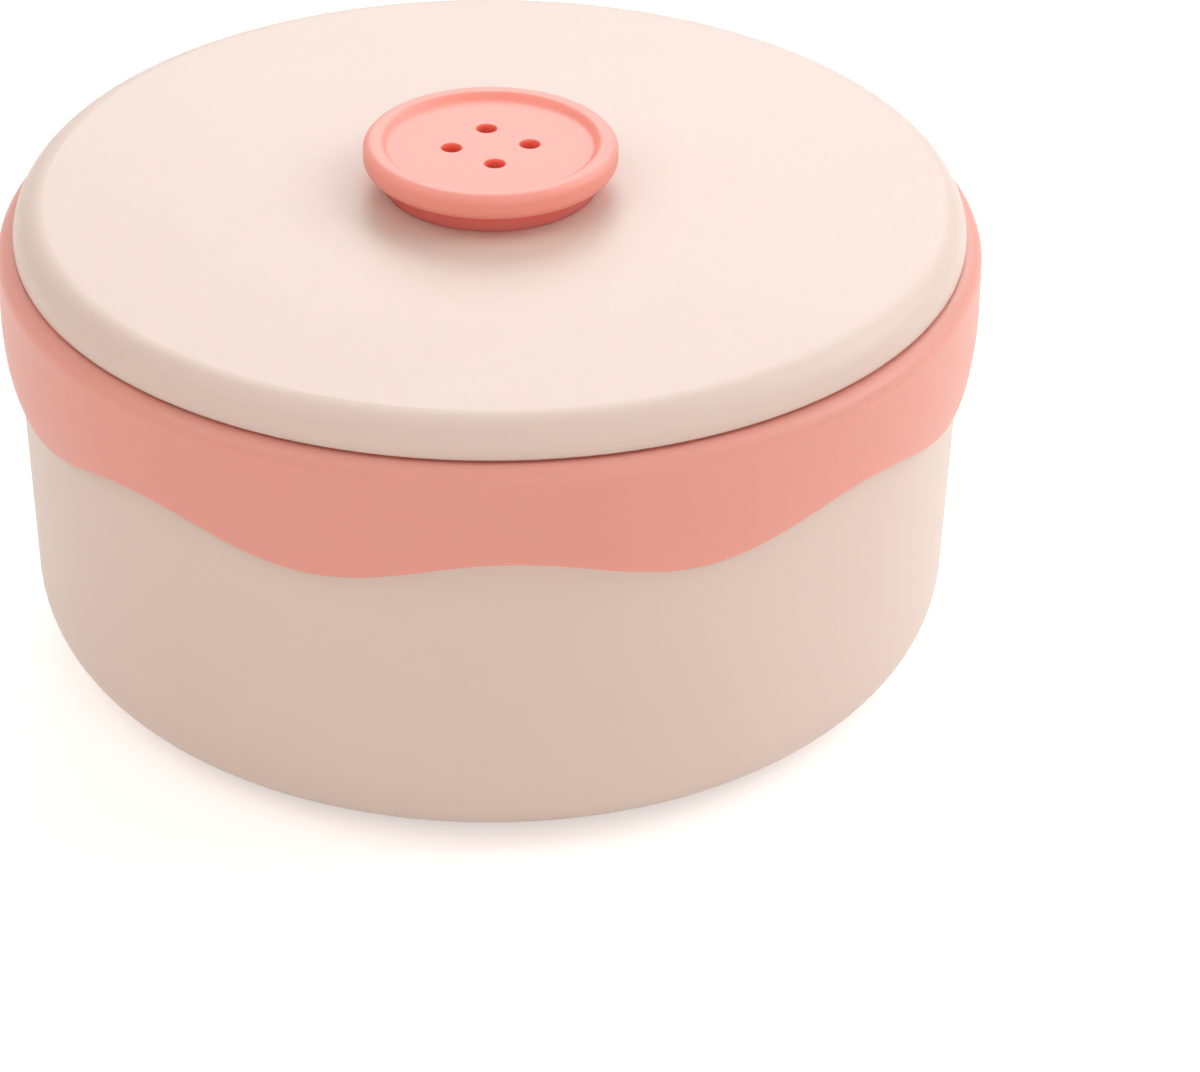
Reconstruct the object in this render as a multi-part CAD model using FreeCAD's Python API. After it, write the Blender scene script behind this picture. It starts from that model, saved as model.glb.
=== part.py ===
# Round sewing box: a bowl-shaped base that holds a pincushion and thread spools, a lift-out tray whose skirt hangs
# over the base in a wavy hem, a domed lid with a knob in the form of a button, and the sewing things in the tray.
# Millimetres. +Z is up, -Y is the front, and the origin is the middle of the plane that the foot stands on.
import FreeCAD, Part
import math
import os

Vector = FreeCAD.Vector
UP = Vector(0, 0, 1)
ORIGIN = Vector(0, 0, 0)

# Pincushion and the ring wall that holds it
sponge_radius = 33.0
sponge_height = 24.0
sponge_crown = 1.2
sponge_edge_radius = 2.5
sponge_draw_in = 0.7
sponge_crown_radius = 300.0
sponge_ring_gap = 1.2
sponge_ring_wall = 1.6
sponge_ring_height = 13.0

# Thread spools: a row that runs clockwise round the ring wall, and one that stands alone
row_spools = ("plum", "navy", "maroon", "rust", "teal", "umber", "green", "red", "crimson")
lone_spool = "orange"
row_start_deg = 88.0
lone_spool_deg = 142.0
spool_radius = 12.0
spool_height = 34.0
spool_flange = 1.6
spool_rim = 2.3
spool_tube_wall = 0.7
spool_hub_bore = 4.9
spool_hub_wall = 0.8
spool_rib = 0.9
spool_rib_inset = 0.4
spool_edge_radius = 0.5
spool_neighbour_gap = 1.8
spool_ring_gap = 0.9
spool_wall_gap = 1.1
spool_twist_deg = 37.0

# Thread: a plain core and its outer layer of turns, drawn thick, as many as fill the spool
thread_turn_diameter = 0.768
thread_turn_gap = 0.45
thread_end_gap = 0.4
thread_inset = 0.3
thread_seat_gap = 0.05

# Base
base_wall = 2.2
base_floor = 2.2
base_draft_deg = 2.2
base_corner_radius = 13.5
base_inner_corner = 4.5
base_rim_round = 0.8
foot_height = 4.8
foot_width = 3.0
foot_round = 1.0
base_neck_drop = 1.5

# Tray
tray_headroom = 5.4
tray_wall = 1.8
tray_floor = 1.8
tray_depth = 17.8
tray_rim = 2.0
tray_fit_gap = 0.4
tray_draft_deg = 1.5
tray_corner_radius = 3.5
tray_rim_round = 1.0
shoulder_radius = 2.4

# Skirt of the tray
skirt_wall = 1.8
skirt_flare = 1.1
skirt_bend_height = 5.0
skirt_curve_radius = 55.0
hem_gap = 0.3
hem_wall = 1.15
hem_drop = 17.1
hem_wave = 4.4
hem_waves = 8
hem_phase_deg = 2.0
hem_round = 0.4

# Magnet in the tray's floor and the two arc walls round it
magnet_radius = 29.0
magnet_thickness = 2.0
magnet_recess = 0.8
magnet_gap = 0.3
divider_gap = 6.6
divider_wall = 1.2
divider_height = 9.5
divider_round = 0.4
divider_span_deg = 138.0
divider_turns_deg = (-25.0, 155.0)

# Needles on the magnet: (place across the magnet, place of the tip, length, turn)
needle_radius = 0.4
needle_tip = 5.0
needle_eye = 2.4
needle_eye_width = 0.3
needle_end_margin = 0.7
needle_seat_gap = 0.02
steel_needles = (
    (13.6, -24.0, 50.0, -0.4),
    (11.2, -26.0, 54.0, 0.5),
    (8.8, -25.0, 53.0, -0.6),
    (6.6, -28.0, 56.0, 0.2),
    (-3.4, -27.5, 55.0, 0.4),
    (-5.6, -28.0, 56.5, -0.5),
    (-8.0, -25.5, 52.0, -1.0),
    (-10.2, -28.0, 54.0, 0.3),
    (-14.6, -21.0, 46.0, 0.2),
)
gilt_needle_count = 7
gilt_needle_length = 38.0
gilt_needle_radius = 0.45
gilt_needle_pitch = 1.05
gilt_needle_start = -17.0
gilt_needle_stagger = 1.6
gilt_row_middle = 1.6

# Rolled tape measure and its paper band
tape_width = 12.5
tape_thickness = 0.45
tape_turn_gap = 0.45
tape_turns = 5
tape_run = 46.0
tape_inner_radius = 1.7
tape_deg = 38.0
tape_skew_deg = 3.0
tape_place_gap = 0.6
band_length = 24.0
band_thickness = 0.3
band_gap = 0.1
band_round = 0.25

# Ring thimble
thimble_radius = 10.0
thimble_wall = 0.7
thimble_height = 9.5
thimble_taper = 0.5
thimble_bead = 0.45
thimble_bead_round = 0.4
thimble_slit = 0.6
thimble_slit_deg = -80.0
thimble_deg = -10.0

# Needle threader
threader_big_radius = 9.3
threader_small_radius = 6.2
threader_length = 29.8
threader_waist_radius = 3.0
threader_thickness = 1.2
threader_hole_radius = 0.8
threader_hole_inset = 3.6
threader_hole_deg = 185.0
threader_deg = -93.0
threader_turn_deg = 150.0
threader_wire_radius = 0.15
threader_loop_length = 15.0
threader_loop_half_width = 2.4
threader_loop_root = 0.5
threader_loop_tip_radius = 0.5
threader_loop_bend_radius = 3.0
threader_wire_gap = 0.05

# Lid
lid_inset = 2.43
lid_edge_height = 5.6
lid_edge_radius = 4.7
lid_crown = 1.4
lid_crown_land = 36.0
lid_crown_radius = 500.0
lid_thickness = 2.2
lid_wall = 2.0
lid_seat_width = 0.85
lid_shadow_gap = 0.4
lid_lip_round = 0.25
lid_plug_gap = 0.45
lid_plug_wall = 1.5
lid_plug_depth = 4.0
lid_plug_round = 0.4
lid_groove_round = 0.8

# Knob in the form of a button, with the screw and washer that hold it
knob_radius = 18.7
knob_thickness = 4.0
knob_gap = 3.0
knob_neck_radius = 15.6
knob_neck_taper = 0.5
knob_rim_width = 2.6
knob_dish = 1.0
knob_rim_round = 1.3
knob_edge_round = 1.5
knob_dish_round = 0.7
knob_plate = 2.0
knob_neck_wall = 2.0
knob_boss_radius = 3.6
knob_hole_radius = 1.6
knob_hole_circle = 5.76
knob_hole_count = 4
knob_hole_turn_deg = 6.0
screw_radius = 1.4
screw_hole_gap = 0.3
screw_bite = 4.0
screw_head_radius = 2.9
screw_head_height = 2.0
screw_head_round = 0.9
screw_slot_length = 3.2
screw_slot_width = 0.7
screw_slot_depth = 1.1
screw_end_room = 0.5
washer_radius = 4.6
washer_thickness = 0.8

# Places that follow from the sizes, upwards
floor_top = foot_height + base_floor
tray_underside = floor_top + spool_height + tray_headroom
tray_floor_top = tray_underside + tray_floor
tray_top = tray_floor_top + tray_depth
base_rim_top = tray_top - tray_rim
hem_middle = tray_top - hem_drop
hem_lowest = hem_middle - hem_wave / 2
neck_bottom = hem_lowest - base_neck_drop
lid_seam = tray_top + lid_shadow_gap
lid_edge_top = tray_top + lid_edge_height
lid_top = lid_edge_top + lid_crown
knob_underside = lid_top + knob_gap
knob_top = knob_underside + knob_thickness
knob_dish_bottom = knob_top - knob_dish
magnet_top = tray_floor_top - magnet_recess + magnet_thickness

# Sizes of the rolled tape
tape_pitch = tape_thickness + tape_turn_gap
tape_roll_top = tape_inner_radius + tape_turns * tape_pitch + tape_thickness / 2
tape_roll_bottom = tape_inner_radius + (tape_turns - 0.5) * tape_pitch + tape_thickness / 2
tape_roll_half_length = tape_run / 2 + tape_inner_radius + (tape_turns - 0.25) * tape_pitch + tape_thickness / 2
band_half_width = tape_width / 2 + band_gap + band_thickness

# Room that the tray needs outside the arc walls, for the tape across it and for the round things
divider_bore = magnet_radius + divider_gap
divider_radius = divider_bore + divider_wall
tape_near_side = divider_radius + tape_place_gap + band_half_width
tape_far_corner = math.hypot(tape_near_side + tape_width / 2, tape_roll_half_length)
widest_thing = 2 * max(thimble_radius, threader_big_radius)
tray_room_radius = max(tape_far_corner, divider_radius + widest_thing + tape_place_gap) + tape_place_gap

# Places that follow from the sizes, outwards: the spools or the tray's things set the width
sponge_ring_bore = sponge_radius + sponge_ring_gap
sponge_ring_radius = sponge_ring_bore + sponge_ring_wall
spool_circle = sponge_ring_radius + spool_ring_gap + spool_radius
base_slope = math.tan(math.radians(base_draft_deg))
tray_slope = math.tan(math.radians(tray_draft_deg))
tray_side = tray_corner_radius + tray_depth * tray_slope + tray_wall + tray_fit_gap
floor_flat_for_tray = tray_room_radius + tray_side - base_inner_corner - (neck_bottom - floor_top) * base_slope
floor_flat_radius = max(spool_circle + spool_radius + spool_wall_gap, floor_flat_for_tray)
base_foot_radius = floor_flat_radius + base_inner_corner + base_wall - floor_top * base_slope
neck_radius = base_foot_radius + neck_bottom * base_slope
hem_inner_radius = neck_radius + hem_gap
hem_radius = hem_inner_radius + hem_wall
ring_radius = hem_radius + skirt_flare
tray_wall_radius = neck_radius - base_wall - tray_fit_gap
tray_mouth_radius = tray_wall_radius - tray_wall
tray_floor_radius = tray_mouth_radius - tray_depth * tray_slope
tray_flat_radius = tray_floor_radius - tray_corner_radius
things_circle = (divider_radius + tray_flat_radius) / 2
lid_radius = ring_radius - lid_inset
lid_plug_radius = tray_mouth_radius - lid_plug_gap

# Places of the spools round the ring wall: the lone one keeps clear of the row's end
spool_pitch_deg = 2 * math.degrees(math.asin((spool_radius + spool_neighbour_gap / 2) / spool_circle))
row_end_deg = row_start_deg + 360 - (len(row_spools) - 1) * spool_pitch_deg
lone_place_deg = min(lone_spool_deg, row_end_deg - spool_pitch_deg)

# Sizes of the spool's tube and of the winding, which fills the room between the flanges
winding_length = spool_height - 2 * spool_flange - 2 * thread_end_gap
thread_turns = round((winding_length + thread_turn_gap) / (thread_turn_diameter + thread_turn_gap)) - 1
winding_pitch = (winding_length + thread_turn_gap) / (thread_turns + 1)
thread_core_radius = spool_radius - thread_inset - thread_turn_diameter - thread_seat_gap
spool_bore = spool_radius - spool_rim
spool_tube_radius = spool_bore + spool_tube_wall


def polar(radius, angle_deg, height=0.0):
    angle = math.radians(angle_deg)
    return Vector(radius * math.cos(angle), radius * math.sin(angle), height)


def placed(shape, turn_deg, at):
    """Copy of a shape, turned about the upright axis and then moved."""
    copy = shape.copy()
    copy.rotate(ORIGIN, UP, turn_deg)
    copy.translate(at)
    return copy


def rounded_edges(points, radii, closed):
    """Straight runs through the points, with a tangent arc at each point that has a radius."""
    count = len(points)
    edges = []
    last_end = None
    first_end = None
    for index, point in enumerate(points):
        enter = point
        leave = point
        arc = None
        if radii[index]:
            to_last = (points[index - 1] - point).normalize()
            to_next = (points[(index + 1) % count] - point).normalize()
            half_angle = to_last.getAngle(to_next) / 2
            reach = radii[index] / math.tan(half_angle)
            enter = point + to_last * reach
            leave = point + to_next * reach
            depth = radii[index] / math.sin(half_angle) - radii[index]
            middle = point + (to_last + to_next).normalize() * depth
            arc = Part.Arc(enter, middle, leave).toShape()
        if last_end is None:
            first_end = enter
        else:
            edges.append(Part.makeLine(last_end, enter))
        if arc:
            edges.append(arc)
        last_end = leave
    if closed:
        edges.append(Part.makeLine(last_end, first_end))
    return edges


def section(corners):
    """Face in the XZ plane whose corners are (x, z) or (x, z, rounding)."""
    points = [Vector(corner[0], 0, corner[1]) for corner in corners]
    radii = [corner[2] if len(corner) > 2 else 0 for corner in corners]
    return Part.Face(Part.Wire(rounded_edges(points, radii, True)))


def turned(corners, angle_deg=360):
    """Solid of revolution about the upright axis."""
    return section(corners).revolve(ORIGIN, UP, angle_deg)


def rod(radius, bottom, top):
    return Part.makeCylinder(radius, top - bottom, Vector(0, 0, bottom))


def tube_along(edges, radius, start, direction):
    """Round bar swept along joined edges."""
    sweep = Part.BRepOffsetAPI.MakePipeShell(Part.Wire(edges))
    sweep.add(Part.Wire(Part.makeCircle(radius, start, direction)))
    sweep.build()
    sweep.makeSolid()
    return sweep.shape()


def least_gap(points, thickness, skip):
    """Least clear distance of a winding to itself, between points more than skip places apart."""
    nearest = min(
        (points[first] - points[second]).Length
        for first in range(len(points))
        for second in range(first + skip, len(points))
    )
    return nearest - thickness


def base_bowl():
    """Bowl with a foot ring, a draughted wall, a straight neck for the tray, and the pincushion's ring wall."""
    flat_edge = base_foot_radius - base_corner_radius
    bowl = turned((
        (0, foot_height),
        (flat_edge - foot_width, foot_height, foot_round),
        (flat_edge - foot_width, 0, foot_round / 2),
        (base_foot_radius, 0, base_corner_radius),
        (neck_radius, neck_bottom),
        (neck_radius, base_rim_top, base_rim_round),
        (neck_radius - base_wall, base_rim_top, base_rim_round),
        (neck_radius - base_wall, neck_bottom),
        (floor_flat_radius + base_inner_corner, floor_top, base_inner_corner),
        (0, floor_top),
    ))
    ring_top = floor_top + sponge_ring_height
    ring_round = sponge_ring_wall / 3
    ring = turned((
        (sponge_ring_bore, floor_top - base_floor / 2),
        (sponge_ring_radius, floor_top - base_floor / 2),
        (sponge_ring_radius, ring_top, ring_round),
        (sponge_ring_bore, ring_top, ring_round),
    ))
    return bowl.fuse(ring).removeSplitter()


def pincushion_sponge():
    """Foam disc with a crowned top and sides drawn in a little at mid height."""
    middle = floor_top + sponge_height / 2
    shoulder = floor_top + sponge_height - sponge_crown
    top = floor_top + sponge_height
    waist = sponge_radius - sponge_draw_in
    land = sponge_radius / 3
    crown_fall = math.atan2(sponge_crown, sponge_radius - land)
    crown_round = min(sponge_crown_radius, (land - sponge_edge_radius) / math.tan(crown_fall / 2))
    return turned((
        (0, floor_top),
        (sponge_radius, floor_top, sponge_edge_radius / 2),
        (waist, middle, sponge_height),
        (sponge_radius, shoulder, sponge_edge_radius),
        (land, top, crown_round),
        (0, top),
    ))


def spool():
    """Spool with two flanges, a thin tube, and a hub held by four ribs."""
    barrel = turned((
        (spool_bore, 0),
        (spool_radius, 0, spool_edge_radius),
        (spool_radius, spool_flange, spool_edge_radius),
        (spool_tube_radius, spool_flange),
        (spool_tube_radius, spool_height - spool_flange),
        (spool_radius, spool_height - spool_flange, spool_edge_radius),
        (spool_radius, spool_height, spool_edge_radius),
        (spool_bore, spool_height),
    ))
    hub_radius = spool_hub_bore + spool_hub_wall
    hub = rod(hub_radius, 0, spool_height)
    reach = spool_bore + spool_tube_wall / 2
    rib_height = spool_height - 2 * spool_rib_inset
    long_rib = Part.makeBox(2 * reach, spool_rib, rib_height, Vector(-reach, -spool_rib / 2, spool_rib_inset))
    cross_rib = placed(long_rib, 90, ORIGIN)
    return barrel.fuse([hub, long_rib, cross_rib]).cut(rod(spool_hub_bore, 0, spool_height)).removeSplitter()


def thread_core():
    """Body of the wound thread, under its outer layer."""
    bottom = spool_flange + thread_seat_gap
    top = spool_height - spool_flange - thread_seat_gap
    bore = spool_tube_radius + thread_seat_gap
    return turned(((bore, bottom), (thread_core_radius, bottom), (thread_core_radius, top), (bore, top)))


def arc_between(start, start_way, end):
    """Arc that leaves start along start_way and passes through end: its middle point."""
    chord = end - start
    along = Vector(chord).normalize()
    side = (start_way - along * start_way.dot(along)).normalize()
    return (start + end) / 2 + side * (chord.Length / 2 * math.tan(start_way.getAngle(chord) / 2))


def biarc(start, start_way, end, end_way):
    """Two tangent arcs from start to end that keep the direction at both."""
    chord = end - start
    bend = 2 * (1 - start_way.dot(end_way))
    along = chord.dot(start_way + end_way)
    reach = (math.sqrt(along ** 2 + bend * chord.dot(chord)) - along) / bend
    meet = (start + end + (start_way - end_way) * reach) / 2
    first = Part.Arc(start, arc_between(start, start_way, meet), meet).toShape()
    second = Part.Arc(meet, arc_between(end, end_way * -1, meet), end).toShape()
    return [first, second]


def thread_winding():
    """Outer layer of turns: one helical tube whose ends run straight for one diameter."""
    radius = thread_core_radius + thread_seat_gap + thread_turn_diameter / 2
    start_height = spool_flange + thread_end_gap + thread_turn_diameter / 2

    def on_helix(turn):
        return polar(radius, 360 * turn, start_height + winding_pitch * turn)

    def way_at(turn):
        around = polar(2 * math.pi * radius, 360 * turn + 90)
        return (around + UP * winding_pitch).normalize()

    half_turns = [step / 2 for step in range(2 * thread_turns + 1)]
    start = on_helix(0) - way_at(0) * thread_turn_diameter
    edges = [Part.makeLine(start, on_helix(0))]
    for turn, next_turn in zip(half_turns, half_turns[1:]):
        edges += biarc(on_helix(turn), way_at(turn), on_helix(next_turn), way_at(next_turn))
    end = on_helix(thread_turns)
    edges.append(Part.makeLine(end, end + way_at(thread_turns) * thread_turn_diameter))
    steps = 20
    points = [on_helix(step / steps) for step in range(steps * thread_turns + 1)]
    gap = least_gap(points, thread_turn_diameter, steps // 2)
    print(f"thread winding: {thread_turns} turns, {thread_turn_diameter:.3f} mm thick, least gap {gap:.3f} mm")
    return tube_along(edges, thread_turn_diameter / 2, start, way_at(0))


def hem_edge(radius):
    """Wavy closed curve of the hem at one radius."""
    points = []
    steps_per_wave = 8
    for step in range(hem_waves * steps_per_wave):
        angle_deg = 360 * step / (hem_waves * steps_per_wave)
        wave = math.cos(math.radians(hem_waves * (angle_deg - hem_phase_deg)))
        points.append(polar(radius, angle_deg, hem_middle + hem_wave / 2 * wave))
    curve = Part.BSplineCurve()
    curve.interpolate(Points=points, PeriodicFlag=True)
    return curve.toShape()


def below_hem():
    """Space under the wavy hem, as far as the skirt's section reaches down."""
    surface = Part.makeRuledSurface(hem_edge(neck_radius), hem_edge(ring_radius + hem_wall))
    return surface.extrude(UP * -(hem_wave + base_neck_drop))


def divider(turn_deg):
    """Arc wall that stands on the tray's floor."""
    top = tray_floor_top + divider_height
    bottom = tray_floor_top - tray_floor / 4
    wall = turned((
        (divider_bore, bottom),
        (divider_radius, bottom),
        (divider_radius, top, divider_round),
        (divider_bore, top, divider_round),
    ), divider_span_deg)
    return placed(wall, turn_deg, ORIGIN)


def tray():
    """Tray with a rim folded over the base's wall, a skirt with a wavy hem, and a recess for the magnet."""
    skirt_bend = hem_lowest + skirt_bend_height
    skirt_bottom = hem_lowest - base_neck_drop / 2
    body = turned((
        (0, tray_underside),
        (tray_floor_radius + tray_wall, tray_underside, tray_corner_radius + tray_wall),
        (tray_wall_radius, base_rim_top),
        (ring_radius - skirt_wall, base_rim_top),
        (ring_radius - skirt_wall, skirt_bend),
        (hem_inner_radius, hem_lowest),
        (hem_inner_radius, skirt_bottom),
        (hem_radius, skirt_bottom),
        (ring_radius, skirt_bend, skirt_curve_radius),
        (ring_radius, tray_top, shoulder_radius),
        (tray_mouth_radius, tray_top, tray_rim_round),
        (tray_floor_radius, tray_floor_top, tray_corner_radius),
        (0, tray_floor_top),
    ))
    body = body.cut(below_hem())
    hem_edges = [
        edge for edge in body.Edges
        if edge.BoundBox.ZMax < base_rim_top and edge.BoundBox.XMax > hem_inner_radius
        and edge.BoundBox.ZMax - edge.BoundBox.ZMin > hem_wave / 2
    ]
    body = body.makeFillet(hem_round, hem_edges)
    body = body.fuse([divider(turn_deg) for turn_deg in divider_turns_deg])
    recess = rod(magnet_radius + magnet_gap, tray_floor_top - magnet_recess, tray_floor_top + magnet_thickness)
    return body.cut(recess).removeSplitter()


def magnet_disc():
    bottom = tray_floor_top - magnet_recess
    edge = magnet_thickness / 5
    return turned((
        (0, bottom),
        (magnet_radius, bottom),
        (magnet_radius, magnet_top, edge),
        (0, magnet_top),
    ))


def needle(length, radius):
    """Needle along +X from its tip at the origin, with a long eye near its blunt end."""
    body = turned((
        (0, 0),
        (radius / 2, needle_tip / 3, 2 * needle_tip),
        (radius, needle_tip),
        (radius, length, radius / 2),
        (0, length),
    ))
    eye_end = length - needle_end_margin
    eye = Part.makeBox(
        2 * radius, needle_eye_width, needle_eye,
        Vector(-radius, -needle_eye_width / 2, eye_end - needle_eye),
    )
    body = body.cut(eye)
    body.rotate(ORIGIN, Vector(0, 1, 0), 90)
    return body


def needle_at(across, tip, length, turn_deg, radius):
    height = magnet_top + needle_seat_gap + radius
    return placed(needle(length, radius), turn_deg, Vector(tip, across, height))


def steel_needle_group():
    """Long needles that lie side by side across the magnet."""
    return Part.makeCompound([
        needle_at(across, tip, length, turn_deg, needle_radius)
        for across, tip, length, turn_deg in steel_needles
    ])


def gilt_needle_group():
    """Shorter needles in a close row in the middle of the magnet."""
    needles = []
    for index in range(gilt_needle_count):
        across = gilt_row_middle + (index - (gilt_needle_count - 1) / 2) * gilt_needle_pitch
        tip = gilt_needle_start + gilt_needle_stagger * (index % 3)
        needles.append(needle_at(across, tip, gilt_needle_length, 0, gilt_needle_radius))
    return Part.makeCompound(needles)


def tape_side(offset):
    """One side of the rolled tape, as edges in the XZ plane: runs and half circles that widen turn by turn."""
    half = tape_run / 2
    right = Vector(half, 0, -tape_pitch / 4)
    left = Vector(-half, 0, tape_pitch / 4)
    edges = []
    for turn in range(tape_turns):
        over = tape_inner_radius + turn * tape_pitch + offset
        under = -(tape_inner_radius + (turn + 0.5) * tape_pitch + offset)
        next_over = over + tape_pitch
        right_radius = (over - under) / 2
        left_radius = (next_over - under) / 2
        edges.append(Part.makeLine(Vector(-half, 0, over), Vector(half, 0, over)))
        edges.append(Part.Arc(
            Vector(half, 0, over), right + Vector(right_radius, 0, 0), Vector(half, 0, under)).toShape())
        edges.append(Part.makeLine(Vector(half, 0, under), Vector(-half, 0, under)))
        edges.append(Part.Arc(
            Vector(-half, 0, under), left - Vector(left_radius, 0, 0), Vector(-half, 0, next_over)).toShape())
    edges.append(Part.makeLine(Vector(-half, 0, next_over), Vector(half / 2, 0, next_over)))
    return edges


def tape_place(shape):
    """Moves a piece of the rolled tape from its own axes to the gap between the arc walls and the tray's wall."""
    corner = tray_flat_radius - tape_place_gap
    farthest = math.sqrt(corner ** 2 - tape_roll_half_length ** 2) - tape_width / 2
    height = tray_floor_top + tape_roll_bottom + band_gap + band_thickness
    return placed(shape, tape_deg - 90 + tape_skew_deg, polar((tape_near_side + farthest) / 2, tape_deg, height))


def tape_measure():
    """Flat tape rolled into a long oval."""
    outer = tape_side(tape_thickness / 2)
    inner = tape_side(-tape_thickness / 2)
    caps = [
        Part.makeLine(outer[0].Vertexes[0].Point, inner[0].Vertexes[0].Point),
        Part.makeLine(outer[-1].Vertexes[-1].Point, inner[-1].Vertexes[-1].Point),
    ]
    strip = Part.Face(Part.Wire(Part.sortEdges(outer + inner + caps)[0])).extrude(Vector(0, tape_width, 0))
    strip.translate(Vector(0, -tape_width / 2, 0))
    middle_line = tape_side(0)
    points = []
    for edge in middle_line:
        points += edge.discretize(max(2, round(edge.Length)))[:-1]
    half_turn = round((tape_run + math.pi * tape_inner_radius) / 2)
    gap = least_gap(points, tape_thickness, half_turn)
    length = sum(edge.Length for edge in middle_line)
    print(f"tape: {tape_turns} turns, {length:.0f} mm long, least gap {gap:.3f} mm")
    return tape_place(strip)


def tape_band():
    """Paper sleeve round the middle of the rolled tape."""
    half_width = tape_width / 2 + band_gap
    top = tape_roll_top + band_gap
    bottom = -tape_roll_bottom - band_gap

    def sleeve(grow):
        return section((
            (-half_width - grow, bottom - grow, band_round + grow),
            (half_width + grow, bottom - grow, band_round + grow),
            (half_width + grow, top + grow, band_round + grow),
            (-half_width - grow, top + grow, band_round + grow),
        )).extrude(Vector(0, band_length, 0))

    band = sleeve(band_thickness).cut(sleeve(0))
    band.translate(Vector(0, -band_length / 2, 0))
    return tape_place(placed(band, 90, ORIGIN))


def thimble():
    """Open ring thimble, slightly tapered, with a beaded rim and a slit where the band's ends meet."""
    top_radius = thimble_radius - thimble_taper
    bead_bottom = thimble_height - 2 * thimble_bead
    ring = turned((
        (thimble_radius - thimble_wall, 0, thimble_wall / 3),
        (thimble_radius, 0, thimble_wall / 3),
        (top_radius, bead_bottom),
        (top_radius + thimble_bead, bead_bottom, thimble_bead_round),
        (top_radius + thimble_bead, thimble_height, thimble_bead_round),
        (top_radius - thimble_wall, thimble_height, thimble_wall / 3),
    ))
    slit = Part.makeBox(
        2 * thimble_radius, thimble_slit, thimble_height, Vector(0, -thimble_slit / 2, 0))
    ring = ring.cut(placed(slit, thimble_slit_deg, ORIGIN))
    return placed(ring, 0, polar(things_circle, thimble_deg, tray_floor_top))


def threader_place(shape):
    at = polar(things_circle, threader_deg, tray_floor_top)
    return placed(shape, threader_turn_deg, at)


def threader_plate():
    """Gourd-shaped plate: two round lobes joined by a drawn-in waist, with a small hole in the large one."""
    big = threader_big_radius
    small = threader_small_radius
    spacing = threader_length - big - small
    to_big = big + threader_waist_radius
    to_small = small + threader_waist_radius
    along = (spacing ** 2 + to_big ** 2 - to_small ** 2) / (2 * spacing)
    beside = math.sqrt(to_big ** 2 - along ** 2)
    small_middle = Vector(spacing, 0, 0)

    def waist(side):
        middle = Vector(along, side * beside, 0)
        on_big = middle * (big / to_big)
        on_small = small_middle + (middle - small_middle) * (small / to_small)
        lowest = middle + (on_big + on_small - middle * 2).normalize() * threader_waist_radius
        return on_big, lowest, on_small

    left = waist(1)
    right = waist(-1)
    outline = Part.Wire([
        Part.Arc(left[0], Vector(-big, 0, 0), right[0]).toShape(),
        Part.Arc(*right).toShape(),
        Part.Arc(right[2], Vector(spacing + small, 0, 0), left[2]).toShape(),
        Part.Arc(left[2], left[1], left[0]).toShape(),
    ])
    plate = Part.Face(outline).extrude(UP * threader_thickness)
    hole_at = polar(big - threader_hole_inset, threader_hole_deg)
    hole = Part.makeCylinder(threader_hole_radius, threader_thickness, hole_at)
    return threader_place(plate.cut(hole))


def threader_wire():
    """Diamond-shaped wire loop that comes out of the end of the small lobe."""
    small_middle = threader_length - threader_big_radius - threader_small_radius
    root = small_middle + threader_small_radius + threader_wire_gap
    straight = root + 2 * threader_loop_root
    widest = root + threader_loop_length / 2
    tip = root + threader_loop_length
    height = threader_thickness / 2
    points = [
        Vector(root, threader_loop_root, height),
        Vector(straight, threader_loop_root, height),
        Vector(widest, threader_loop_half_width, height),
        Vector(tip, 0, height),
        Vector(widest, -threader_loop_half_width, height),
        Vector(straight, -threader_loop_root, height),
        Vector(root, -threader_loop_root, height),
    ]
    bend = threader_loop_bend_radius
    radii = [0, bend / 2, bend, threader_loop_tip_radius, bend, bend / 2, 0]
    edges = rounded_edges(points, radii, False)
    return threader_place(tube_along(edges, threader_wire_radius, points[0], Vector(1, 0, 0)))


def lid():
    """Domed lid: a rounded edge that stands on the tray's rim, a plug ring inside it, and a hole for the screw."""
    wall_bore = lid_radius - lid_wall
    seat_edge = wall_bore + lid_seat_width
    plug_bore = lid_plug_radius - lid_plug_wall
    plug_bottom = tray_top - lid_plug_depth
    fall = lid_crown / (lid_radius - lid_crown_land)
    underside = lid_top - lid_thickness
    groove_top = underside - fall * (wall_bore - lid_crown_land)
    shell = turned((
        (0, lid_top),
        (lid_crown_land, lid_top, lid_crown_radius),
        (lid_radius, lid_edge_top, lid_edge_radius),
        (lid_radius, lid_seam, lid_lip_round),
        (seat_edge, lid_seam),
        (seat_edge, tray_top),
        (wall_bore, tray_top),
        (wall_bore, groove_top, lid_groove_round),
        (lid_plug_radius, groove_top, lid_groove_round),
        (lid_plug_radius, plug_bottom, lid_plug_round),
        (plug_bore, plug_bottom, lid_plug_round),
        (plug_bore, underside - fall * (plug_bore - lid_crown_land), lid_groove_round),
        (lid_crown_land, underside, lid_crown_radius),
        (0, underside),
    ))
    return shell.cut(rod(screw_radius + screw_hole_gap, underside, lid_top))


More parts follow.
